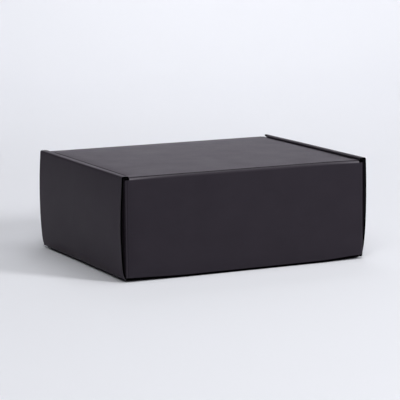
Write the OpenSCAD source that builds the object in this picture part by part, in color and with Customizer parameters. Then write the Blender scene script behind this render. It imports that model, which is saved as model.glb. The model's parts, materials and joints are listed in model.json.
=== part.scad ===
// Roll-end mailer box: one die-cut sheet of corrugated board, folded up and closed.
// X runs along the hinge, the hinge wall faces +Y, and the origin is the middle of the underside.

/* [Box] */
// Length of the hinge wall over its corner folds
box_l = 257; // [200:1:360]
// Depth over the front wall and the hinge wall
box_d = 211; // [190:1:300]
// Height from the floor to the top of the closed lid
box_h = 100; // [80:1:160]

/* [Board and creases] */
// Thickness of the corrugated board
board = 2; // [1.6:0.1:3]
// Depth of a fold's axis below the outer faces, as a share of the board
fold_share = 0.6; // [0.5:0.05:0.65]
// How far a crease is crushed below the outer faces
crush = 0.3; // [0.1:0.05:0.4]

/* [Side walls] */
// Height of the rolled rims above the lid
rim_up = 1.2; // [0.6:0.1:4]
// Room between a corner flap and the outer panel at the floor
foot_slack = 0.2; // [0.1:0.1:1.5]
// Room between a corner flap and the outer panel at the rim
rim_slack = 1.4; // [0.8:0.1:4]
// How far the outer panel bows out between floor and rim
bow = 1.8; // [0.6:0.1:5]
// How far the ends of a rolled wall stay behind the long walls' faces
side_in = 0.4; // [0.2:0.1:2]
// Width of a tab at the foot of an inner panel
tab_w = 40; // [20:1:60]
// Distance between the two tabs of a side wall, middle to middle
tab_pitch = 110; // [80:1:120]
// Height of the tabs' tips above the floor
tab_lift = 0.3; // [0.2:0.1:0.8]

/* [Corner flaps] */
// Length of a corner flap from its fold
corner_len = 60; // [40:1:80]
// How far the front wall's top edge stays below the lid's top
front_down = 0.5; // [0.3:0.1:3]
// Length of wall left uncreased at each lower corner
corner_relief = 5; // [3:0.5:10]

/* [Lid] */
// Depth of the dust flaps at the lid's sides
dust_len = 60; // [30:1:70]
// Distance from the hinge's axis to a dust flap
dust_back = 11; // [8:1:30]
// Distance from the tuck flap's axis to a dust flap
dust_front = 12; // [8:1:30]
// Depth of the tuck flap
tuck_len = 45; // [25:1:60]
// How much narrower than the lid the tuck flap is, at each end
tuck_in = 2.5; // [2.4:0.1:10]
// How much a flap narrows at each side of its root
taper = 4; // [2:0.5:10]
// Radius of the flaps' corners
flap_r = 14; // [5:1:20]

/* [Fits] */
// Free gap between the layers of a side wall and round its tabs
play = 0.3; // [0.2:0.05:0.6]
// Free gap round the hinge's crease
hinge_gap = 0.2; // [0.15:0.05:0.4]
// Free gap between the lid's sides and the inner panels
lid_gap = 0.5; // [0.3:0.05:1.2]
// Free gap between the tuck flap and the front wall
tuck_gap = 0.3; // [0.2:0.05:0.8]
// Free gap at the cut ends and edges of the hidden panels
edge_gap = 0.5; // [0.3:0.05:1]

/* [Hidden] */
paper = [0.16, 0.155, 0.165];
$fn = 48;
bow_fn = 1440;
bite = 0.2;

half_l = box_l / 2;
half_d = box_d / 2;

// A fold's axis lies fold_in below both outer faces and fold_out above both inner faces.
fold_in = fold_share * board;
fold_out = board - fold_in;
bead_r = fold_in - crush;
full = fold_in + hinge_gap;

// Axes of the folds, as [x or y, z] in their sections
wall_axis = [half_d - fold_in, fold_in];
hinge_axis = [half_d - fold_in, box_h - fold_in];
foot_axis = [half_l + foot_slack + fold_out, fold_in];
rim_axis = [half_l + rim_slack + fold_out, box_h + rim_up - fold_in];
inner_face = half_l - 2 * board - play;
inner_axis = [inner_face + fold_in, rim_axis[1]];
lid_half = inner_face - lid_gap;
lid_axis = [lid_half - fold_in, hinge_axis[1]];
tuck_r = hinge_axis[0] + half_d - board - tuck_gap;
tuck_axis = [hinge_axis[0] - tuck_r + fold_in, hinge_axis[1]];
corner_axis = [half_l - fold_in, half_d - fold_in];

// The outer panel's bow, as an arc through its two fold axes
chord = rim_axis - foot_axis;
bow_r = (pow(norm(chord), 2) / 4 + bow * bow) / (2 * bow);
bow_out = [chord[1], -chord[0]] / norm(chord);
bow_centre = (foot_axis + rim_axis) / 2 - (bow_r - bow) * bow_out;
bow_half = asin(norm(chord) / 2 / bow_r);
bow_tilt = atan2(bow_out[1], bow_out[0]);
full_angle = full / bow_r * 180 / PI;

low = wall_axis[1] + full;
hinge_wall_top = hinge_axis[1] - full;
under_rim = rim_axis[1] - max(fold_out, bead_r) - edge_gap;

// Extrudes a section drawn as [y, z] along X
module along_x(length) {
    rotate([90, 0, 90]) linear_extrude(length, center = true) children();
}

// Extrudes a section drawn as [x, z] along Y
module along_y(length) {
    rotate([90, 0, 0]) linear_extrude(length, center = true) children();
}

// The same child on both sides of the box
module both_sides() {
    children();
    mirror([1, 0, 0]) children();
}

// A rectangle from one corner to the opposite one
module area(a, b) {
    translate([min(a[0], b[0]), min(a[1], b[1])]) square([abs(b[0] - a[0]), abs(b[1] - a[1])]);
}

// Section of a square fold at its axis: its panels leave along +x and +y, their outer faces at -y and -x
module fold_2d() {
    circle(bead_r);
    area([0, -bead_r], [full + bite, fold_out]);
    area([-bead_r, 0], [fold_out, full + bite]);
}

// Outline of a flap that leaves its root along +x, narrowed at the root and rounded at its tip
module flap_2d(length, width) {
    tip = width / 2 - taper;
    difference() {
        polygon([[0, -width / 2], [taper, -tip], [length, -tip], [length, tip], [taper, tip], [0, width / 2]]);
        for (side = [-1, 1]) translate([length - flap_r, side * (tip - flap_r)]) difference() {
            area([0, 0], [flap_r + 1, side * (flap_r + 1)]);
            circle(flap_r);
        }
    }
}

// Band of board along the outer panel's bow
module bow_band(inner, outer, half_angle) {
    reach = 2 * bow_r;
    translate(bow_centre) rotate(bow_tilt) intersection() {
        difference() {
            circle(bow_r + outer, $fn = bow_fn);
            circle(bow_r - inner, $fn = bow_fn);
        }
        polygon([[0, 0], reach * [1, -tan(half_angle)], reach * [1, tan(half_angle)]]);
    }
}

module base_panel() {
    slot_x = inner_face + board / 2;
    linear_extrude(board) difference() {
        square([2 * (foot_axis[0] - full), 2 * (wall_axis[0] - full)], center = true);
        for (x = [-slot_x, slot_x], y = [-tab_pitch / 2, tab_pitch / 2])
            translate([x, y]) square([board + 2 * play, tab_w + 2 * play], center = true);
    }
}

// A corner flap and its upright fold at the +x end of the hinge wall
module corner_flap(top) {
    translate([corner_axis[0], corner_axis[1], low]) linear_extrude(top - low) rotate(180) fold_2d();
    translate([corner_axis[0] - fold_out, 0, 0]) rotate([90, 0, 90]) linear_extrude(board)
        translate([corner_axis[1] - full, (low + top) / 2]) rotate(180) flap_2d(corner_len - full, top - low);
}

// A long wall at +y with its crease to the base and its two corner flaps; the children are its outline
module long_wall(corner_top) {
    along_x(box_l - 2 * corner_relief) translate(wall_axis) mirror([1, 0]) fold_2d();
    translate([0, half_d, 0]) rotate([90, 0, 0]) linear_extrude(board) {
        area([full - corner_axis[0], low], [corner_axis[0] - full, corner_top]);
        children();
    }
    both_sides() corner_flap(corner_top);
}

module hinge_wall() {
    long_wall(hinge_wall_top);
    along_x(2 * lid_half) translate(hinge_axis) {
        circle(bead_r);
        area([-fold_out, 0], [bead_r, -full - bite]);
    }
}

module front_wall() {
    mirror([0, 1, 0]) long_wall(under_rim) area([-lid_half, low], [lid_half, box_h - front_down]);
}

// Outer panel and rim of the rolled wall at +x
module rolled_outside() {
    along_y(box_d - 2 * side_in) {
        translate(foot_axis) circle(bead_r);
        area(foot_axis + [-full - bite, -bead_r], foot_axis + [0, fold_out]);
        bow_band(fold_out, bead_r, bow_half);
        bow_band(fold_out, fold_in, bow_half - full_angle);
        translate(rim_axis) circle(bead_r);
        area(inner_axis + [0, -fold_out], rim_axis + [0, bead_r]);
        area(inner_axis + [full, -fold_out], rim_axis + [-full, fold_in]);
        translate(inner_axis) circle(bead_r);
    }
}

// Inner panel of the rolled wall at +x, with its tabs in the base's slots
module rolled_inside() {
    half_w = half_d - board - edge_gap;
    foot = board + play;
    top = inner_axis[1] - full;
    along_y(2 * half_w) area([inner_axis[0] - bead_r, top - bite], [inner_axis[0] + fold_out, inner_axis[1]]);
    translate([inner_face, 0, 0]) rotate([90, 0, 90]) linear_extrude(board) {
        area([-half_w, foot], [half_w, top]);
        for (y = [-tab_pitch / 2, tab_pitch / 2]) area([y - tab_w / 2, tab_lift], [y + tab_w / 2, foot + bite]);
    }
}

module tray() {
    color(paper) {
        base_panel();
        hinge_wall();
        front_wall();
        both_sides() {
            rolled_outside();
            rolled_inside();
        }
    }
}

// The lid's flat panel, with a wider strip before and behind the dust flaps
module lid_panel() {
    back = hinge_axis[0] - bead_r - hinge_gap;
    front = tuck_axis[0] + full;
    translate([0, 0, box_h - board]) linear_extrude(board) {
        area([full - lid_axis[0], front], [lid_axis[0] - full, back]);
        area([-lid_half, hinge_axis[0] - dust_back + edge_gap], [lid_half, back]);
        area([-lid_half, front], [lid_half, tuck_axis[0] + dust_front - edge_gap]);
    }
}

// Dust flap at the lid's +x side
module dust_flap() {
    back = hinge_axis[0] - dust_back;
    front = tuck_axis[0] + dust_front;
    translate([0, (front + back) / 2, 0]) {
        along_y(back - front) translate(lid_axis) rotate(180) fold_2d();
        translate([lid_half - board, 0, 0]) rotate([90, 0, 90]) linear_extrude(board)
            translate([0, lid_axis[1] - full]) rotate(-90) flap_2d(dust_len - full, back - front);
    }
}

// The tuck flap curves about the hinge's axis, so that it swings in past the front wall
module tuck_flap() {
    half_w = lid_half - tuck_in;
    along_x(2 * half_w) {
        translate(tuck_axis) circle(bead_r);
        area(tuck_axis + [0, -fold_out], tuck_axis + [full + bite, bead_r]);
        intersection() {
            tuck_ring(crush);
            area(tuck_axis + [-board, -full - bite], tuck_axis + [board, 0]);
        }
    }
    intersection() {
        along_x(2 * half_w) tuck_ring(0);
        translate([0, tuck_axis[0], tuck_axis[1] - full]) rotate([90, 0, 0])
            linear_extrude(2 * tuck_len, center = true) rotate(-90) flap_2d(tuck_len - full, 2 * half_w);
    }
}

module tuck_ring(sunk) {
    translate(hinge_axis) difference() {
        circle(tuck_r - sunk, $fn = bow_fn);
        circle(tuck_r - board, $fn = bow_fn);
    }
}

module lid() {
    color(paper) {
        lid_panel();
        both_sides() dust_flap();
        tuck_flap();
    }
}

tray();
lid();
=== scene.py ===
import json
import math

import bpy
from mathutils import Matrix, Vector
from mathutils.geometry import delaunay_2d_cdt


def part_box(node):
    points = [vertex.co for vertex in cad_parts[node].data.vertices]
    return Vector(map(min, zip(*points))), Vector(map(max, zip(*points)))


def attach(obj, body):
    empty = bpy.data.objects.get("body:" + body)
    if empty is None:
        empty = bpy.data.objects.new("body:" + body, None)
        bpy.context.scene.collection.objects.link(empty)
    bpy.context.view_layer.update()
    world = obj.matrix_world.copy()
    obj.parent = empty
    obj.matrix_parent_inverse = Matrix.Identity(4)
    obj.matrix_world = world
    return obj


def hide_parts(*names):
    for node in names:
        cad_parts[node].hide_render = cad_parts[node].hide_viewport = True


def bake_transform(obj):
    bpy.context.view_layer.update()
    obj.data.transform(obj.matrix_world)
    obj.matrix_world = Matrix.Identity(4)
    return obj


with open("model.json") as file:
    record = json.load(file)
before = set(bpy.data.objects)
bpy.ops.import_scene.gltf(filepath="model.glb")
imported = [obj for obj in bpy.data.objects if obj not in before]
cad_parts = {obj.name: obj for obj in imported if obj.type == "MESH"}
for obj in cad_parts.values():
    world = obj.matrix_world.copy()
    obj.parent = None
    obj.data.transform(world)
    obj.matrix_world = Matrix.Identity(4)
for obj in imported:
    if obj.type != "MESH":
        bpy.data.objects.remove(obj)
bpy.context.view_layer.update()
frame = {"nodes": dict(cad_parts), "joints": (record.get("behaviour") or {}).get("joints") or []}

print("frame loaded:", sorted(frame["nodes"]))

# Everything about the paper is in millimetres, and a mesh is scaled to metres when it is made
mm = 0.001
joint = frame["joints"][0]
hinge = [v / mm for v in joint["pos_m"]]
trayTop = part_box("tray")[1] / mm
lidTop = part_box("lid")[1] / mm

board = {
    "thick": 2.0,
    "liner": 0.3,            # paper on either face
    "flutePitch": 3.4,       # one wave of the fluted paper
    "flutePaper": 0.2,
    "fluteInset": 0.12,      # how far inside a cut the fluted paper ends
    "fluteSteps": 10,        # faces to one wave
    "cutDepth": 2.2,         # how deep a cut edge can be looked into
    "paleEdgeWidth": 0.6,         # width of the paler line along a cut
    "creaseWidth": 3.0,      # width of the paler line along a cut: the paper's paler cut with a painted highlight where the edge catches the light
    "creaseGap": 0.2,        # the full board starts this much further from a fold's axis than its face lies
    "beadRadius": 0.99,      # the ridge that a crease turns into
    "beadSteps": 6,
    # The groove at either side of the bead: distance and sinking of the outer face, point by point
    "shoulder": [(0, 0), (0.14, 0.05), (0.28, 0.26)],      # in from the full board, below its face
    "grooveBed": [(0.46, 0.22), (0.7, 0.29)],              # in from the full board, below the bead's top
    "beadSide": [(0.45, 0.2), (0.22, 0.05)],               # out from the axis, below the bead's top
    # A crease that is crushed round has no bead, and may sink below the panel that leaves it
    "roundSteps": 12,
    "sinkFrom": 0.2,         # share of the turn where it begins to sink
    "stepEdge": 0.45,        # width of the step up to the panel, as a share of one of the roundSteps
    "footRadius": 0.9,       # at the foot of a rolled wall
    "rimRadius": 1.8,        # at its rim
}
thick = board["thick"]
halfDepth = trayTop.y
foldIn = halfDepth - hinge[1]          # from an outer face to a fold's axis
foldOut = thick - foldIn               # from a fold's axis to the inner faces
full = foldIn + board["creaseGap"]     # from a fold's axis to where the board has its full thickness
creaseWidth = board["creaseWidth"]


# A folded strip seen from its end: stations along the flat strip, each with its outer and inner point
class Section:
    def __init__(self):
        self.along, self.outer, self.inner = [], [], []

    def station(self, along, outer, inner):
        self.along.append(along)
        self.outer.append(Vector(outer))
        self.inner.append(Vector(inner))

    # Point at a distance along the flat strip, with depth 0 on the outer face and 1 on the inner one
    def at(self, along, depth):
        i = 0
        while i < len(self.along) - 2 and self.along[i + 1] < along:
            i += 1
        share = (along - self.along[i]) / (self.along[i + 1] - self.along[i])
        outer = self.outer[i].lerp(self.outer[i + 1], share)
        inner = self.inner[i].lerp(self.inner[i + 1], share)
        return outer.lerp(inner, depth)

    # A flat panel that goes on from the last station
    def panel(self, length, ahead):
        step = Vector(ahead) * length
        self.station(self.along[-1] + length, self.outer[-1] + step, self.inner[-1] + step)

    # A crease about an axis. The panel that arrives along ahead has its outer face towards out, and turns
    # inwards. The crease has a bead, unless it gets a step: then it is crushed round.
    def crease(self, axis, ahead, out, turn, step=None, radius=None):
        axis, ahead, out = Vector(axis), Vector(ahead), Vector(out)
        nextAhead, nextOut = bendInwards(ahead, out, turn)
        if step is None:
            outers = beadedCorner(axis, ahead, out, turn)
        else:
            outers = crushedCorner(axis, ahead, out, turn, step, radius)
        mitre = axis - foldOut * (out + nextOut) / (1 + out.dot(nextOut))
        ends = (axis - full * ahead - foldOut * out, axis + full * nextAhead - foldOut * nextOut)
        start = self.along[-1] if self.along else 0.0
        last = len(outers) - 1
        for k, outer in enumerate(outers):
            share = 2 * k / last
            inner = ends[0].lerp(mitre, share) if share <= 1 else mitre.lerp(ends[1], share - 1)
            if k or not self.along:
                self.station(start + creaseWidth * k / last, outer, inner)


# The directions ahead and out of a panel once it has turned inwards
def bendInwards(ahead, out, turn):
    return (math.cos(turn) * ahead - math.sin(turn) * out,
            math.sin(turn) * ahead + math.cos(turn) * out)


# Outer points of a crease that sinks into a groove, rises to a bead and sinks into a groove again
def beadedCorner(axis, ahead, out, turn):
    nextAhead, nextOut = bendInwards(ahead, out, turn)
    radius, steps = board["beadRadius"], board["beadSteps"]
    half = [(full - back, foldIn - down) for back, down in board["shoulder"]]
    half += [(full - back, radius - down) for back, down in board["grooveBed"]]
    half += [(back, radius - down) for back, down in board["beadSide"]]
    points = [axis - back * ahead + rise * out for back, rise in half]
    for k in range(steps + 1):
        angle = turn * k / steps
        points.append(axis + radius * (math.sin(angle) * ahead + math.cos(angle) * out))
    return points + [axis + back * nextAhead + rise * nextOut for back, rise in reversed(half)]


# Outer points of a crease that is crushed round, up to the step where the next panel leaves it. Without a
# radius the arc takes up the crease's whole width.
def crushedCorner(axis, ahead, out, turn, step, radius):
    nextAhead = bendInwards(ahead, out, turn)[0]
    run = full + foldIn * math.tan(turn / 2)
    corner = axis + foldIn * out + (run - full) * ahead
    radius = radius or run / math.tan(turn / 2)
    centre = corner - radius * math.tan(turn / 2) * ahead - radius * out
    steps, sinkFrom = board["roundSteps"], board["sinkFrom"]
    points = [corner - run * ahead]
    for share in [k / steps for k in range(steps)] + [1 - board["stepEdge"] / steps, 1]:
        sunk = 0 if share == 1 else step * max(0, share - sinkFrom) / (1 - sinkFrom)
        angle = turn * share
        points.append(centre + (radius - sunk) * (math.sin(angle) * ahead + math.cos(angle) * out))
    return points + [corner + run * nextAhead]


cutter = {
    "tolerance": 1e-4,       # points of the flat sheet closer than this are one
    "edgeMitre": 0.25,       # these keep a corner's inset from shooting out where the outline is sharp
    "paleEdgeMitre": 0.4,
    "sharpAngle": 32,        # degrees: a steeper fold between two faces is drawn as an edge
}


# The flat sheet inside an outline, cut along lines, as points and triangles
def cutSheet(outline, holes, lines):
    points, edges = [], []
    for loop in [outline] + holes:
        first = len(points)
        points += [Vector(p) for p in loop]
        edges += [(first + i, first + (i + 1) % len(loop)) for i in range(len(loop))]
    for a, b in lines:
        edges.append((len(points), len(points) + 1))
        points += [Vector(a), Vector(b)]
    flat, _, faces = delaunay_2d_cdt(points, edges, [], 0, cutter["tolerance"])[:3]
    kept = []
    for face in faces:
        centre = (flat[face[0]] + flat[face[1]] + flat[face[2]]) / 3
        if inside(centre, outline) and not any(inside(centre, hole) for hole in holes):
            kept.append(tuple(face))
    return flat, kept


def inside(p, loop):
    odd = False
    for i, a in enumerate(loop):
        b = loop[i - 1]
        passes = (a[1] > p.y) != (b[1] > p.y)
        if passes and p.x < (b[0] - a[0]) * (p.y - a[1]) / (b[1] - a[1]) + a[0]:
            odd = not odd
    return odd


# Boundary of the sheet: each edge once, with the sheet on its left, and the inward direction at each point
def rimOf(flat, faces):
    sides = {(f[i], f[(i + 1) % 3]) for f in faces for i in range(3)}
    edges = sorted(e for e in sides if (e[1], e[0]) not in sides)
    inward = {}
    for a, b in edges:
        along = (flat[b] - flat[a]).normalized()
        left = Vector((-along.y, along.x))
        for i in (a, b):
            inward.setdefault(i, []).append(left)
    for i, normals in inward.items():
        total = sum(normals, Vector((0, 0)))
        inward[i] = total / max(cutter["edgeMitre"], 1 + normals[0].dot(normals[-1]))
    return edges, inward


# The same loop moved into the sheet, which marks where the pale line along a cut ends
def insetLoop(loop, isHole):
    area = sum(a[0] * b[1] - b[0] * a[1] for a, b in zip(loop, loop[1:] + loop[:1]))
    turned = 1 if (area > 0) != isHole else -1
    points = []
    for i, p in enumerate(loop):
        before, after = Vector(p) - Vector(loop[i - 1]), Vector(loop[(i + 1) % len(loop)]) - Vector(p)
        a, b = (turned * Vector((-v.y, v.x)).normalized() for v in (before, after))
        points.append(Vector(p) + board["paleEdgeWidth"] * (a + b) / max(cutter["paleEdgeMitre"], 1 + a.dot(b)))
    return points


# What a face of a piece can show, in the order of the papers. A cut edge is also used for what gets no light.
facePaper, backPaper, cutEdgeAndShade, tornLiner, flutePaper = range(5)


# A piece while it is made: its points, put in place by its fold(x, y, depth), and its faces
class Skin:
    def __init__(self, fold):
        self.fold = fold
        self.places, self.marks, self.wornAndLit = [], [], []
        self.polygons, self.slots = [], []

    def put(self, p, depth, wearAndHighlight=0.0):
        self.places.append(self.fold(p.x, p.y, depth) * mm)
        self.marks.append((p.x, p.y, depth))
        self.wornAndLit.append(wearAndHighlight)
        return len(self.places) - 1

    def face(self, corners, slot):
        self.polygons.append(tuple(corners))
        self.slots.append(slot)


# The outer and the inner face of the board, where hidden(x, y) tells which outer faces get no light
def addFaces(skin, flat, faces, inward, paleMarkAt, hidden):
    outer, inner = [], []
    for i, p in enumerate(flat):
        paleMark = paleMarkAt(p.x, p.y) if paleMarkAt else 0.0
        wearAndHighlight = max(paleMark, paperLook["cutWearAndHighlight"] if i in inward else 0)
        outer.append(skin.put(p, 0, wearAndHighlight))
        inner.append(skin.put(p, 1, wearAndHighlight))
    for a, b, c in faces:
        centre = (flat[a] + flat[b] + flat[c]) / 3
        dark = hidden and hidden(centre.x, centre.y)
        # Outer faces that get no light get the cut edge's near-black: painted shade
        skin.face((outer[c], outer[b], outer[a]), cutEdgeAndShade if dark else facePaper)
        skin.face((inner[a], inner[b], inner[c]), backPaper)
    return outer, inner


# Hollow cut edges: the torn ends of both liners, and the dark channel between them
def addCuts(skin, flat, edges, inward, outer, inner):
    liner = board["liner"] / thick
    ladder = {}
    for i, into in inward.items():
        deep = flat[i] + board["cutDepth"] * into
        ladder[i] = [outer[i], skin.put(flat[i], liner), skin.put(deep, liner),
                     skin.put(deep, 1 - liner), skin.put(flat[i], 1 - liner), inner[i]]
    for a, b in edges:
        for k, paper in enumerate((tornLiner, cutEdgeAndShade, cutEdgeAndShade, cutEdgeAndShade, tornLiner)):
            skin.face((ladder[a][k], ladder[b][k], ladder[b][k + 1], ladder[a][k + 1]), paper)


# The fluted paper inside a cut edge, which shows as a wave where the cut crosses the flutes
def addFlutes(skin, flat, edges, inward):
    half = board["flutePaper"] / thick / 2
    swing = 0.5 - board["liner"] / thick - half
    near, far = board["fluteInset"], board["cutDepth"]
    strip = [(near, -half), (near, half), (far, half), (far, -half)]
    for a, b in edges:
        waves = abs(flat[b].y - flat[a].y) / board["flutePitch"]
        count = max(1, round(waves * board["fluteSteps"]))
        rungs = []
        for k in range(count + 1):
            p = flat[a].lerp(flat[b], k / count)
            into = inward[a].lerp(inward[b], k / count)
            depth = 0.5 + swing * math.cos(2 * math.pi * p.y / board["flutePitch"])
            rungs.append([skin.put(p + into * inset, depth + side) for inset, side in strip])
        for rung, after in zip(rungs, rungs[1:]):
            for k in range(4):
                skin.face((rung[k], after[k], after[(k + 1) % 4], rung[(k + 1) % 4]), flutePaper)
        skin.face(reversed(rungs[0]), flutePaper)
        skin.face(rungs[-1], flutePaper)


# A piece of board, cut flat and folded into place
def makeBoard(name, outline, holes, lines, fold, paleMarkAt=None, hidden=None):
    insets = [insetLoop(outline, False)] + [insetLoop(hole, True) for hole in holes]
    paleEdgeEnds = [(loop[i - 1], loop[i]) for loop in insets for i in range(len(loop))]
    flat, faces = cutSheet(outline, holes, lines + paleEdgeEnds)
    edges, inward = rimOf(flat, faces)
    skin = Skin(fold)
    outer, inner = addFaces(skin, flat, faces, inward, paleMarkAt, hidden)
    addCuts(skin, flat, edges, inward, outer, inner)
    addFlutes(skin, flat, edges, inward)
    piece = makeMesh(name, skin.places, skin.polygons, skin.slots, papers)
    sheet = piece.data.attributes.new("sheet", "FLOAT_VECTOR", "POINT")
    sheet.data.foreach_set("vector", [v for mark in skin.marks for v in mark])
    wearAndHighlight = piece.data.attributes.new("wearAndHighlight", "FLOAT", "POINT")
    wearAndHighlight.data.foreach_set("value", skin.wornAndLit)
    return piece


def makeMesh(name, places, polygons, slots, materials):
    mesh = bpy.data.meshes.new(name)
    mesh.from_pydata([tuple(p) for p in places], [], polygons)
    for material in materials:
        mesh.materials.append(material)
    mesh.polygons.foreach_set("material_index", slots)
    mesh.polygons.foreach_set("use_smooth", [True] * len(polygons))
    mesh.update()
    mesh.set_sharp_from_angle(angle=math.radians(cutter["sharpAngle"]))
    piece = bpy.data.objects.new(name, mesh)
    bpy.context.scene.collection.objects.link(piece)
    return piece


# Shader sockets that take part in Python sums
class Wire:
    def __init__(self, shader, socket):
        self.shader, self.socket = shader, socket

    def maths(self, operation, a, b):
        return self.shader.node("ShaderNodeMath", {"operation": operation}, {0: a, 1: b})

    def __add__(self, other):
        return self.maths("ADD", self, other)

    def __radd__(self, other):
        return self.maths("ADD", other, self)

    def __sub__(self, other):
        return self.maths("SUBTRACT", self, other)

    def __rsub__(self, other):
        return self.maths("SUBTRACT", other, self)

    def __mul__(self, other):
        return self.maths("MULTIPLY", self, other)

    def __rmul__(self, other):
        return self.maths("MULTIPLY", other, self)


# The nodes of a material or a world
class Shader:
    def __init__(self, owner):
        self.owner = owner
        owner.use_nodes = True
        self.tree = owner.node_tree
        self.tree.nodes.clear()

    # Adds a node: its type, then its settings, then the values or wires of its sockets
    def node(self, kind, settings, sockets, out=0):
        made = self.tree.nodes.new(kind)
        for key, value in settings.items():
            setattr(made, key, value)
        for key, value in sockets.items():
            if isinstance(value, Wire):
                self.tree.links.new(value.socket, made.inputs[key])
            else:
                made.inputs[key].default_value = value
        return Wire(self, made.outputs[out]) if len(made.outputs) else made

    # Sockets 6 and 7 are the Mix node's two colours, and output 2 is their mixture
    def mixColour(self, share, a, b):
        return self.node("ShaderNodeMix", {"data_type": "RGBA"}, {0: share, 6: a, 7: b}, 2)


paperLook = {
    "black": (0.0165, 0.0145, 0.0188, 1),      # the outer face runs from black to greyed in patches
    "greyed": (0.0232, 0.0205, 0.0262, 1),
    "inside": (0.016, 0.0152, 0.0168, 1),
    # pale marks along cuts and creases: partly wear, partly painted highlight
    "wornAndLit": (0.13, 0.123, 0.137, 1),
    # The cut, the torn liners and the fluted paper are far darker than the board's own black: painted shade
    # of the gaps between walls and of the flutes' hollows
    "edge": (0.0009, 0.0009, 0.0011, 1),       # what a cut lays bare
    "torn": (0.005, 0.0048, 0.0054, 1),
    "flute": (0.0018, 0.0018, 0.002, 1),
    "shine": 0.085,            # how glossy a face of the board is, and the gloss's colour
    "tint": (1, 0.8, 1, 1),
    "fuzz": 0.045,             # the soft sheen of its fibres
    "fuzzRoughness": 0.45,
    "fuzzTint": (1, 0.6, 1, 1),
    "roughness": 0.45,
    "insideRoughness": 0.62,
    "cutRoughness": 0.9,
    "roughnessSpread": 0.10,
    "mottleScale": 0.035,      # patches a few centimetres wide
    "mottleNoise": {"Detail": 4.0, "Roughness": 0.6},
    "fibreScale": 1.6,         # fibres of about half a millimetre
    "fibreNoise": {"Detail": 3.0, "Roughness": 0.65},
    "mottleShare": 0.7,        # of the paper's shade, and the fibres have the rest
    "fluteBump": 0.007,
    "fibreBump": 0.025,
    "paleSpread": 0.5,         # added to the fibres, so that the pale marks show between them too
    "cutWearAndHighlight": 0.16,           # along a cut: the paper's paler cut with a painted highlight where the edge catches the light
}


# Black paper: face is 1 for a face of the board, and 0 for what a cut lays bare. That has no shine, no fuzz,
# no wave of flutes under it and no pale marks of wear and painted highlight.
def blackPaper(name, black, greyed, roughness, face):
    shader = Shader(bpy.data.materials.new(name))
    sheet = shader.node("ShaderNodeAttribute", {"attribute_name": "sheet"}, {}, "Vector")
    wearAndHighlight = shader.node("ShaderNodeAttribute", {"attribute_name": "wearAndHighlight"}, {}, "Fac")
    across = shader.node("ShaderNodeSeparateXYZ", {}, {0: sheet}, "Y")
    mottle = shader.node("ShaderNodeTexNoise", {"noise_dimensions": "2D"},
                         {"Vector": sheet, "Scale": paperLook["mottleScale"], **paperLook["mottleNoise"]})
    fibres = shader.node("ShaderNodeTexNoise", {"noise_dimensions": "2D"},
                         {"Vector": sheet, "Scale": paperLook["fibreScale"], **paperLook["fibreNoise"]})
    wave = shader.node("ShaderNodeMath", {"operation": "COSINE"},
                       {0: across * (2 * math.pi / board["flutePitch"])})
    shade = mottle * paperLook["mottleShare"] + fibres * (1 - paperLook["mottleShare"])
    colour = shader.mixColour(shade, black, greyed)
    # Pale marks along cuts and creases: partly wear, partly painted highlight
    colour = shader.mixColour(wearAndHighlight * (fibres + paperLook["paleSpread"]) * face, colour, paperLook["wornAndLit"])
    vary = paperLook["roughnessSpread"]
    rough = roughness + (mottle - 0.5) * vary + (fibres - 0.5) * vary
    height = fibres * paperLook["fibreBump"] + wave * (paperLook["fluteBump"] * face)
    bump = shader.node("ShaderNodeBump", {}, {"Height": height, "Strength": 1.0, "Distance": mm})
    surface = shader.node("ShaderNodeBsdfPrincipled", {}, {
        "Base Color": colour, "Roughness": rough, "Normal": bump,
        "Specular IOR Level": paperLook["shine"] * face, "Specular Tint": paperLook["tint"],
        "Sheen Weight": paperLook["fuzz"] * face, "Sheen Roughness": paperLook["fuzzRoughness"],
        "Sheen Tint": paperLook["fuzzTint"]})
    shader.node("ShaderNodeOutputMaterial", {}, {"Surface": surface})
    return shader.owner


def cutPaper(name, colour):
    return blackPaper(name, colour, colour, paperLook["cutRoughness"], 0.0)


papers = [
    blackPaper("blackFacePaper", paperLook["black"], paperLook["greyed"], paperLook["roughness"], 1.0),
    blackPaper("blackBackPaper", paperLook["inside"], paperLook["black"], paperLook["insideRoughness"], 1.0),
    cutPaper("blackCutEdgeAndShade", paperLook["edge"]),
    cutPaper("blackTornLiner", paperLook["torn"]),
    cutPaper("blackFlutePaper", paperLook["flute"]),
]
print("papers made")


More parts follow.
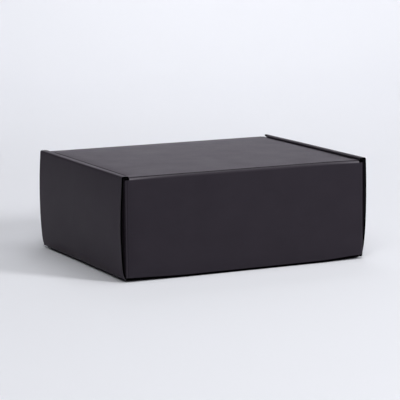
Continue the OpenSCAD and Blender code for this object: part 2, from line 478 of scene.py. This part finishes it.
# The folded tray: base, hinge wall at +Y, front wall, corner flaps and rolled side walls
tray = {
    "lidGap": 0.5,             # between the lid and a rolled wall's inner panel
    "play": 0.3,               # of a corner flap inside a rolled wall, and of a tab in its slot
    "footGap": 0.2,            # from a corner flap's face to the rolled wall's crease in the base
    "endGap": 0.4,             # from a rolled wall's end to the long wall's face
    "edgeGap": 0.5,            # between cut edges that pass each other
    "frontDown": 0.5,          # from the lid's top to the front wall's
    "cornerLength": 60.0,
    "cornerRelief": 5.0,       # the opening in the base at each corner
    "flapTaper": 4.0, "flapRadius": 14.0, "flapSteps": 8,
    "tabWidth": 40.0, "tabPitch": 110.0, "tabChamfer": 2.0, "tabBevel": 0.5,
    "tabLift": 0.3,            # a tab ends this far above the floor
    "bowSteps": 22,
    "lineStep": 12.0,          # spacing of the lines that let a panel bend
    "rimPoint": 1.2,           # the slanted end of a rim starts this far in from its outer crease
    "footRise": 36.0,          # height over which a rolled wall's end runs in to its foot's cut
    "footSteps": 6,
    # The two rolled walls don't bulge alike. foot and rim are how far out each stands from the corner flap's
    # face, and the middle bows out from the line between them. The cuts shorten a wall's ends at the foot,
    # and its front end also where the rim turns down.
    "rolled": {
        1: {"foot": 0.4, "rim": 1.9, "bow": 2.1, "footCut": 1.0, "rimCut": 0.0},
        -1: {"foot": -0.9, "rim": 1.0, "bow": 1.5, "footCut": 5.0, "rimCut": 9.0},
    },
    "creaseHighlight": 0.06,               # painted highlight down the ends of the long walls, on the corner flaps' creases
    "creaseHighlightAtTop": 0.3,           # share of it that is left at the top
    "creaseHighlightCentre": 1.1, "creaseHighlightWidth": 1.0,          # across the corner flap's crease on the flat sheet
    "darkFoot": 0.9,           # share of a long wall's foot crease that gets no light
}
lidHalf = lidTop.x
innerFace = lidHalf + tray["lidGap"]
halfLength = innerFace + 2 * thick + tray["play"]
lowEdge = foldIn + full                       # where the walls have their full thickness
hingeWallTop = hinge[2] - full
frontTop = lidTop.z - tray["frontDown"]
innerAxis = (innerFace + foldIn, trayTop.z - foldIn)
underRim = innerAxis[1] - board["beadRadius"] - tray["edgeGap"]
rolledEnd = halfDepth - tray["endGap"]
footX = halfLength + tray["footGap"] + foldOut
baseX = footX - full
baseY = hinge[1] - full
wallX = halfLength - foldIn - full
wallY = baseY + creaseWidth
slitY = wallY - tray["edgeGap"]


# A rolled wall from its foot over the rim to its tabs, with x outwards and y up
def rolledSection(wall):
    section = Section()
    foot = Vector((footX, foldIn))
    lean = Vector((halfLength + wall["foot"] + foldOut, foldIn))
    rim = Vector((halfLength + wall["rim"] + foldOut, innerAxis[1]))
    chord = rim - lean
    radius = (chord.length ** 2 / 4 + wall["bow"] ** 2) / (2 * wall["bow"])
    out = Vector((chord.y, -chord.x)).normalized()
    centre = (lean + rim) / 2 - (radius - wall["bow"]) * out
    half = math.asin(chord.length / 2 / radius)
    tilt = math.atan2(out.y, out.x)
    section.crease(foot, (1, 0), (0, -1), math.pi / 2 + tilt - half, 0, board["footRadius"])
    shift = lean - foot
    trim = full / radius
    begin = section.along[-1]
    bowed = 2 * half - 2 * trim
    for k in range(1, tray["bowSteps"] + 1):
        share = k / tray["bowSteps"]
        angle = tilt - half + trim + share * bowed
        normal = Vector((math.cos(angle), math.sin(angle)))
        section.station(begin + share * bowed * radius,
                        centre + (radius + foldIn) * normal, centre + (radius - foldOut) * normal)
    top = tilt + half
    section.crease(rim, (-math.sin(top), math.cos(top)), (math.cos(top), math.sin(top)),
                   math.pi / 2 - top, 0, board["rimRadius"])
    section.rimStart = section.along[-1]
    section.panel(rim.x - innerAxis[0] - 2 * full, (-1, 0))
    section.crease(innerAxis, (-1, 0), (0, 1), math.pi / 2)
    section.innerStart = section.along[-1]
    section.panel(innerAxis[1] - full - tray["tabLift"], (0, -1))
    # The foot's crease leans to meet the panel's own foot
    for k, along in enumerate(section.along):
        if along <= begin:
            share = (along / begin) ** 2
            section.outer[k] = section.outer[k] + shift * share
            section.inner[k] = section.inner[k] + shift * share
    return section


rolled = {side: rolledSection(tray["rolled"][side]) for side in (1, -1)}
longWall = Section()
longWall.crease((hinge[1], foldIn), (1, 0), (0, -1), math.pi / 2)
longWall.panel(trayTop.z - lowEdge, (0, 1))


# A corner flap from above, with its crease beaded, or crushed round where it gets a step
def cornerSection(step):
    section = Section()
    section.crease((halfLength - foldIn, hinge[1]), (1, 0), (0, 1), math.pi / 2, step)
    section.panel(tray["cornerLength"] - full, (0, -1))
    return section


cornerFold = {1: cornerSection(None), -1: cornerSection(0)}

# The finished box isn't dead straight: its corners stand off the floor, its lid is domed and its rims run
# uneven. Each pair of numbers is where a change begins and where it is complete.
warp = {
    "leftLift": 1.8, "leftSpan": (60, 130),         # the hinge wall's feet, along x
    "rightLift": 2.0, "rightSpan": (-80, -125),
    "sideLift": 1.7,                                # the feet of the other walls
    "liftReach": 45.0, "liftHeight": 60.0,          # a lift fades out this far from the walls and up them
    "dome": 0.8,
    # The corner near the camera's right spreads at its foot and droops at its top
    "spread": 0.7, "spreadSpan": (-110, -130), "spreadHeight": 35.0,
    "droop": 0.4, "droopX": (-85, -125), "droopY": (10, 105), "droopZ": (50, 100),
    # The rolled wall at -x rises, and most near the hinge wall
    "rise": 0.65, "riseShare": 0.65, "riseY": (-100, -20), "riseHeight": 100.0,
    # The outer panel at +x leans in at its near top and out at its far end, and its foot is drawn in
    "outerX": (-1.5, 0.5),     # what lies further out than the corner flap's face is the outer panel
    "lean": 1.0, "leanY": (20, 105), "leanZ": (35, 95),
    "farOut": 0.9, "farOutY": (0, -100), "farOutHeight": 100.0,
    "footIn": 1.96, "footInSlope": 0.0084, "footInHeight": 10.0,        # the slope is for each mm of y
}


def ease(t):
    t = min(1.0, max(0.0, t))
    return t * t * (3 - 2 * t)


def ramp(v, span):
    return ease((v - span[0]) / (span[1] - span[0]))


def settle(p):
    x, y, z = p
    near, far = (ease(1 - (halfDepth - v) / warp["liftReach"]) for v in (y, -y))
    side = ease(1 - (halfLength - abs(x)) / warp["liftReach"])
    lift = warp["leftLift"] * ramp(x, warp["leftSpan"]) + warp["rightLift"] * ramp(x, warp["rightSpan"])
    lift = near * lift + warp["sideLift"] * (1 - near) * (1 - (1 - side) * (1 - far))
    x -= warp["spread"] * near * ramp(x, warp["spreadSpan"]) * ease(1 - z / warp["spreadHeight"])
    return Vector((x, y, z + lift * ease(1 - z / warp["liftHeight"])))


# Only the hinge wall and the lid droop
def droop(p):
    x, y, z = p
    fall = warp["droop"] * ramp(x, warp["droopX"]) * ramp(y, warp["droopY"]) * ramp(z, warp["droopZ"])
    return Vector((x, y, z - fall))


def rollWarp(side, p):
    x, y, z = p
    if side < 0:
        rise = warp["rise"] * (warp["riseShare"] + (1 - warp["riseShare"]) * ramp(y, warp["riseY"]))
        return Vector((x, y, z + rise * ease(z / warp["riseHeight"])))
    outer = ramp(x - halfLength, warp["outerX"])
    x -= warp["lean"] * outer * ramp(y, warp["leanY"]) * ramp(z, warp["leanZ"])
    x += warp["farOut"] * outer * ramp(y, warp["farOutY"]) * (1 - z / warp["farOutHeight"])
    footIn = warp["footIn"] + warp["footInSlope"] * y
    x -= footIn * outer * max(0, 1 - z / warp["footInHeight"]) ** 2
    return Vector((x, y, z))


def trayAt(x, y, depth):
    sideX, sideY = math.copysign(1, x), math.copysign(1, y)
    if abs(x) > baseX and abs(y) < slitY:
        across, up = rolled[sideX].at(abs(x) - baseX, depth)
        return settle(rollWarp(sideX, Vector((sideX * across, y, up))))
    if abs(y) <= baseY:
        return settle(Vector((x, y, depth * thick)))
    out, up = longWall.at(abs(y) - baseY, depth)
    if abs(x) > wallX:
        across, out = cornerFold[sideX].at(abs(x) - wallX, depth)
        return settle(droop(Vector((sideX * across, sideY * out, up))))
    return settle(droop(Vector((x, sideY * out, up))))


# Quarter of the tray's outline at +x, +y, from the end of a rolled wall's inner panel to the long wall's top
def trayQuarter(side, atFront):
    section, wall = rolled[side], tray["rolled"][side]
    chamfer, bevel = tray["tabChamfer"], tray["tabBevel"]
    tabLow = (tray["tabPitch"] - tray["tabWidth"]) / 2
    tabHigh = tabLow + tray["tabWidth"]
    tabEnd = baseX + section.along[-1]
    panelEnd = tabEnd - (thick + tray["play"] - tray["tabLift"])
    panelStart = baseX + section.innerStart
    innerEnd = halfDepth - thick - tray["edgeGap"]
    rimCut = wall["rimCut"] if atFront else 0
    points = [(panelEnd, tabLow), (tabEnd - bevel, tabLow), (tabEnd, tabLow + bevel),
              (tabEnd, tabHigh - bevel), (tabEnd - bevel, tabHigh), (panelEnd, tabHigh),
              (panelEnd, innerEnd - chamfer), (panelEnd - chamfer, innerEnd), (panelStart, innerEnd - rimCut)]
    if rimCut:
        points += [(panelStart - creaseWidth, rolledEnd - rimCut),
                   (baseX + section.rimStart + tray["rimPoint"], rolledEnd)]
    else:
        points.append((panelStart, rolledEnd))
    for k in range(tray["footSteps"], -1, -1):
        share = k / tray["footSteps"]
        points.append((baseX + tray["footRise"] * share, rolledEnd - wall["footCut"] * (1 - share) ** 2))
    cornerTop = wallY - lowEdge + (underRim if atFront else hingeWallTop)
    root, tip = wallX + creaseWidth, wallX + cornerFold[side].along[-1]
    reliefX = halfLength - tray["cornerRelief"]
    points += [(baseX, baseY), (reliefX, baseY), (reliefX, wallY), (wallX, wallY), (root, wallY)]
    points += flapOutline(root, tip, wallY, cornerTop)
    points += [(root, cornerTop), (wallX, cornerTop), (lidHalf, cornerTop)]
    if atFront:
        points.append((lidHalf, wallY - lowEdge + frontTop))
    return points


# Lower and upper side of a flap from its root to its tip, narrowed near the root and round at the corners
def flapOutline(root, tip, low, high):
    taper, radius = tray["flapTaper"], tray["flapRadius"]
    points = [(root + taper, low + taper)]
    for start, centre in ((-90, low + taper + radius), (0, high - taper - radius)):
        for k in range(tray["flapSteps"] + 1):
            angle = math.radians(start + 90 * k / tray["flapSteps"])
            points.append((tip - radius + radius * math.cos(angle), centre + radius * math.sin(angle)))
    return points + [(root + taper, high - taper)]


def trayOutline():
    back = {side: trayQuarter(side, False) for side in (1, -1)}
    front = {side: trayQuarter(side, True) for side in (1, -1)}
    return (back[1] + [(-x, y) for x, y in reversed(back[-1])]
            + [(-x, -y) for x, y in front[-1]] + [(x, -y) for x, y in reversed(front[1])])


def traySlots():
    slots = []
    x = innerFace + thick / 2
    wide, long = thick / 2 + tray["play"], tray["tabWidth"] / 2 + tray["play"]
    for side in (1, -1):
        for y in (tray["tabPitch"] / 2, -tray["tabPitch"] / 2):
            slots.append([(side * x - wide, y - long), (side * x + wide, y - long),
                          (side * x + wide, y + long), (side * x - wide, y + long)])
    return slots


# Places at about equal steps from start to end
def spread(start, end, step):
    count = max(1, round((end - start) / step))
    return [start + (end - start) * k / count for k in range(count + 1)]


# Lines that cut the flat tray's faces where they bend
def trayLines():
    lines = []
    wallEnd = wallY + trayTop.z - lowEdge
    for side in (1, -1):
        for along in rolled[side].along[:-1]:
            x = side * (baseX + along)
            lines.append(((x, -rolledEnd), (x, rolledEnd)))
        for y in spread(-baseY, baseY, tray["lineStep"]):
            lines.append(((side * baseX, y), (side * (baseX + rolled[side].along[-1]), y)))
        for wall in (1, -1):
            for along in cornerFold[side].along[:-1]:
                x = side * (wallX + along)
                lines.append(((x, wall * wallY), (x, wall * wallEnd)))
    for wall in (1, -1):
        for along in longWall.along[:-1]:
            y = wall * (baseY + along)
            lines.append(((-wallX, y), (wallX, y)))
        for y in spread(wallY, wallY + hingeWallTop - lowEdge, tray["lineStep"]):
            lines.append(((-wallX, wall * y), (wallX, wall * y)))
    for x in spread(-wallX, wallX, tray["lineStep"]):
        lines.append(((x, -wallEnd), (x, wallEnd)))
    for y in spread(-baseY, baseY, tray["lineStep"]):
        lines.append(((-baseX, y), (baseX, y)))
    return lines


# The long walls' ends get a painted highlight on the corner flaps' creases, least at the top
def trayCreaseHighlight(x, y):
    if abs(y) <= slitY:
        return 0.0
    foot = 1 - (abs(y) - wallY) / hingeWallTop
    strength = tray["creaseHighlight"] * (tray["creaseHighlightAtTop"] + (1 - tray["creaseHighlightAtTop"]) * foot)
    return strength * ease(1 - abs(abs(x) - wallX - tray["creaseHighlightCentre"]) / tray["creaseHighlightWidth"])


# The bottom of the crease at the long walls' foot, which stands on the floor and gets no light
def trayHidden(x, y):
    return baseY < abs(y) < baseY + creaseWidth * tray["darkFoot"] and abs(x) < wallX


foldedTray = makeBoard("foldedTray", trayOutline(), traySlots(), trayLines(), trayAt, trayCreaseHighlight, trayHidden)
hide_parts("tray")
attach(foldedTray, "tray")
print("tray:", len(foldedTray.data.polygons), "faces")


# The lid: its panel, a dust flap at each side and the curved tuck flap
lid = {
    "dustLength": 60.0,
    "dustBack": 11.0, "dustFront": 12.0,        # from the folds of the hinge and the tuck flap
    "tuckLength": 45.0,
    "tuckIn": 2.5,                              # the tuck flap is narrower by this at each side
    "tuckGap": 0.3,                             # between the tuck flap and the front wall
    "tuckSteps": 10,
    "lineStep": 12.0,
    "domePower": 4,
}
lidAxis = (lidHalf - foldIn, hinge[2])
lidX = lidAxis[0] - full
tuckRadius = hinge[1] + halfDepth - thick - lid["tuckGap"]
tuckAxis = (hinge[1] - tuckRadius + foldIn, hinge[2])
lidBack = hinge[1] - full
lidFront = tuckAxis[0] + full
dustHigh = hinge[1] - lid["dustBack"]
dustLow = tuckAxis[0] + lid["dustFront"]
tuckHalf = lidHalf - lid["tuckIn"]


def dustSection():
    section = Section()
    section.crease(lidAxis, (1, 0), (0, 1), math.pi / 2)
    section.panel(lid["dustLength"] - full, (0, -1))
    return section


# The tuck flap follows an arc about the hinge
def tuckSection():
    section = Section()
    section.crease(tuckAxis, (-1, 0), (0, 1), math.pi / 2)
    foldRadius = tuckRadius - foldIn
    first, last = full / foldRadius, lid["tuckLength"] / foldRadius
    start = section.along[-1]
    centre = Vector((hinge[1], hinge[2]))
    for k in range(1, lid["tuckSteps"] + 1):
        angle = first + (last - first) * k / lid["tuckSteps"]
        ray = Vector((-math.cos(angle), -math.sin(angle)))
        section.station(start + (angle - first) * foldRadius,
                        centre + tuckRadius * ray, centre + (tuckRadius - thick) * ray)
    return section


dustFold = dustSection()
tuckFold = tuckSection()


# 1 over most of the lid's width, and 0 at its sides
def acrossLid(x):
    return 1 - (x / lidHalf) ** lid["domePower"]


def lidAt(x, y, depth):
    side = math.copysign(1, x)
    slack = tray["edgeGap"] / 2
    if abs(x) > lidX and dustLow - slack < y < dustHigh + slack:
        across, up = dustFold.at(abs(x) - lidX, depth)
        return settle(droop(Vector((side * across, y, up))))
    if y < lidFront:
        out, up = tuckFold.at(lidFront - y, depth)
        return settle(Vector((x, out, up)))
    middle = (lidFront + lidBack) / 2
    dome = warp["dome"] * (1 - ((y - middle) / (lidBack - middle)) ** 2) * acrossLid(x)
    return settle(droop(Vector((x, y, lidTop.z - depth * thick + dome))))


def lidOutline():
    gap = tray["edgeGap"]
    root, tip = lidX + creaseWidth, lidX + dustFold.along[-1]
    tuckRoot, tuckTip = lidFront - creaseWidth, lidFront - tuckFold.along[-1]
    rightSide = [(tuckHalf, lidFront), (lidHalf, lidFront), (lidHalf, dustLow - gap), (lidX, dustLow - gap),
                 (lidX, dustLow), (root, dustLow)]
    rightSide += flapOutline(root, tip, dustLow, dustHigh)
    rightSide += [(root, dustHigh), (lidX, dustHigh), (lidX, dustHigh + gap), (lidHalf, dustHigh + gap),
                  (lidHalf, lidBack)]
    leftSide = [(-x, y) for x, y in reversed(rightSide)]
    flap = flapOutline(-tuckRoot, -tuckTip, -tuckHalf, tuckHalf)
    tuck = [(-tuckHalf, tuckRoot)] + [(x, -out) for out, x in flap] + [(tuckHalf, tuckRoot)]
    return rightSide + leftSide + tuck


def lidLines():
    lines = []
    tuckTip = lidFront - tuckFold.along[-1]
    for side in (1, -1):
        for along in dustFold.along[:-1]:
            x = side * (lidX + along)
            lines.append(((x, dustLow), (x, dustHigh)))
        lines.append(((side * lidX, lidFront), (side * lidX, lidBack)))
    for along in tuckFold.along[:-1]:
        lines.append(((-tuckHalf, lidFront - along), (tuckHalf, lidFront - along)))
    for y in spread(lidFront, lidBack, lid["lineStep"]):
        lines.append(((-lidHalf, y), (lidHalf, y)))
    for x in spread(-lidX, lidX, lid["lineStep"]):
        lines.append(((x, tuckTip), (x, lidBack)))
    return lines


foldedLid = makeBoard("foldedLid", lidOutline(), [], lidLines(), lidAt)
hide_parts("lid")
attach(foldedLid, "lid")
print("lid:", len(foldedLid.data.polygons), "faces")


# The crease between hinge wall and lid
hingeLook = {
    "step": 0.55,              # the lid stands this much above the crushed crease
    "wearAndHighlight": 0.27,
    "endWearAndHighlight": 0.6,            # more of it at the two ends
    "endPower": 6,
    "paleBegins": (-0.1, 0.25), "paleEnds": (0.62, 0.28),      # across the crease, as shares of its width
    "paleShift": 0.21,         # how much nearer the lid it lies in the crease's middle
}
hingeFold = Section()
hingeFold.crease((hinge[1], hinge[2]), (0, 1), (1, 0), math.pi / 2, hingeLook["step"])


def hingeAt(x, y, depth):
    out, up = hingeFold.at(y, depth)
    return settle(droop(Vector((x, out, up))))


def hingeLines():
    lines = [((-lidHalf, along), (lidHalf, along)) for along in hingeFold.along]
    return lines + [((x, 0), (x, creaseWidth)) for x in spread(-lidHalf, lidHalf, lid["lineStep"])]


# The crease above the hinge wall is painted paler, most of all towards its ends: partly stretched paper,
# partly a painted highlight where the crease catches the light
def hingeWornAndLit(x, y):
    share = y / creaseWidth - hingeLook["paleShift"] * acrossLid(x)
    strength = hingeLook["wearAndHighlight"] + hingeLook["endWearAndHighlight"] * (abs(x) / lidHalf) ** hingeLook["endPower"]
    return strength * ramp(share, hingeLook["paleBegins"]) * ramp(share, hingeLook["paleEnds"])


hingeOutline = [(-lidHalf, 0), (lidHalf, 0), (lidHalf, creaseWidth), (-lidHalf, creaseWidth)]
hingeCrease = makeBoard("hingeCrease", hingeOutline, [], hingeLines(), hingeAt, hingeWornAndLit)
# A reach to either side of the joint, up the hinge wall and along the lid, and the two ends of that reach
reach = (full - foldOut) / 2 * mm
pivot = Vector(joint["pos_m"])
pivot - Vector((0, -reach, reach))
pivot + Vector((0, -reach, reach))
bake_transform(hingeCrease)
print("hinge crease:", len(hingeCrease.data.polygons), "faces")

blankWidth = 2 * max(baseX + rolled[1].along[-1], wallX + cornerFold[1].along[-1], lidX + dustFold.along[-1])
blankLength = 2 * (wallY - lowEdge) + frontTop + hingeWallTop + creaseWidth
blankLength += lidBack - lidFront + tuckFold.along[-1]
print("flat blank:", round(blankWidth), "by", round(blankLength), "mm")


# Studio, in metres: pale floor that curves up into a backdrop, soft lights, and the camera of the photo
stage = {
    "floor": (0.795, 0.805, 0.852, 1),
    "width": 3.2, "front": 2.6, "back": 2.6, "bend": 1.0, "height": 3.0,
    "bendSteps": 12,
    "drop": 0.0002,            # keeps the floor clear of the box's underside
    "turn": -25.6,             # degrees, so that the backdrop faces the camera
    "worldColour": (0.96, 0.98, 1.0, 1),
    "worldStrength": 0.06,
    "worldSeen": 0.78,         # how bright the world looks past the sweep
}


def makeFloor():
    shader = Shader(bpy.data.materials.new("paleSweep"))
    surface = shader.node("ShaderNodeBsdfDiffuse", {}, {"Color": stage["floor"]})
    shader.node("ShaderNodeOutputMaterial", {}, {"Surface": surface})
    bend = stage["bend"]
    bendStart = -stage["back"] + bend
    profile = [(stage["front"], -stage["drop"]), (bendStart, -stage["drop"])]
    for k in range(1, stage["bendSteps"] + 1):
        angle = math.pi / 2 * k / stage["bendSteps"]
        profile.append((bendStart - bend * math.sin(angle), bend * (1 - math.cos(angle))))
    profile.append((-stage["back"], stage["height"]))
    half = stage["width"] / 2
    places = [(x, y, z) for y, z in profile for x in (-half, half)]
    polygons = [(2 * k, 2 * k + 1, 2 * k + 3, 2 * k + 2) for k in range(len(profile) - 1)]
    sweep = makeMesh("studioSweep", places, polygons, [0] * len(polygons), [shader.owner])
    sweep.rotation_euler.z = math.radians(stage["turn"])


makeFloor()

# Places in metres, power in watts
lamps = {
    "keyLight": {"at": (-1.54, 2.31, 1.28), "aim": (0, 0, 0.05), "power": 58.0, "size": 0.75},
    "cameraLight": {"at": (1.1, 1.8, 2.4), "aim": (0, 0, 0), "power": 29.5, "size": 1.7},
    "topLight": {"at": (-0.3, 0.4, 2.4), "aim": (0, 0, 0), "power": 23.0, "size": 1.8},
    "backdropLight": {"at": (-0.6, -1.3, 1.9), "aim": (-1.3, -2.3, 0.6), "power": 20.2, "size": 1.2},
}


def softLight(name, at, aim, power, size):
    lamp = bpy.data.lights.new(name, "AREA")
    lamp.energy, lamp.size = power, size
    lamp.shape = "DISK"
    holder = bpy.data.objects.new(name, lamp)
    holder.location = at
    holder.rotation_euler = (Vector(aim) - Vector(at)).to_track_quat("-Z", "Y").to_euler()
    bpy.context.scene.collection.objects.link(holder)


for lampName, lamp in lamps.items():
    softLight(lampName, **lamp)


# The world hardly lights the box, and only what looks past the sweep sees it pale
def makeWorld():
    shader = Shader(bpy.data.worlds.new("studio"))
    seen = shader.node("ShaderNodeLightPath", {}, {}, "Is Camera Ray")
    strength = seen * (stage["worldSeen"] - stage["worldStrength"]) + stage["worldStrength"]
    sky = shader.node("ShaderNodeBackground", {}, {"Color": stage["worldColour"], "Strength": strength})
    shader.node("ShaderNodeOutputWorld", {}, {"Surface": sky})
    bpy.context.scene.world = shader.owner


makeWorld()

view = {
    "at": (0.8226, 1.7286, 0.3650),
    "turn": 25.4275, "pitch": -9.2229, "roll": -0.4714,   # degrees
    "focal": 1912.6, "frame": 400,                       # pixels
    "sensor": 36,                                        # millimetres
}


def placeCamera():
    turn, pitch, roll = (math.radians(view[k]) for k in ("turn", "pitch", "roll"))
    ahead = Vector((-math.cos(pitch) * math.sin(turn), -math.cos(pitch) * math.cos(turn), math.sin(pitch)))
    level = ahead.cross(Vector((0, 0, 1))).normalized()
    upright = level.cross(ahead)
    right = level * math.cos(roll) + upright * math.sin(roll)
    up = upright * math.cos(roll) - level * math.sin(roll)
    camera = bpy.data.cameras.new("photoCamera")
    camera.sensor_width = view["sensor"]
    camera.lens = view["focal"] / view["frame"] * view["sensor"]
    holder = bpy.data.objects.new("photoCamera", camera)
    holder.rotation_euler = Matrix((right, up, -ahead)).transposed().to_euler()
    holder.location = view["at"]
    bpy.context.scene.collection.objects.link(holder)
    bpy.context.scene.camera = holder


placeCamera()
bpy.context.scene.view_settings.view_transform = "Standard"
print("studio ready")
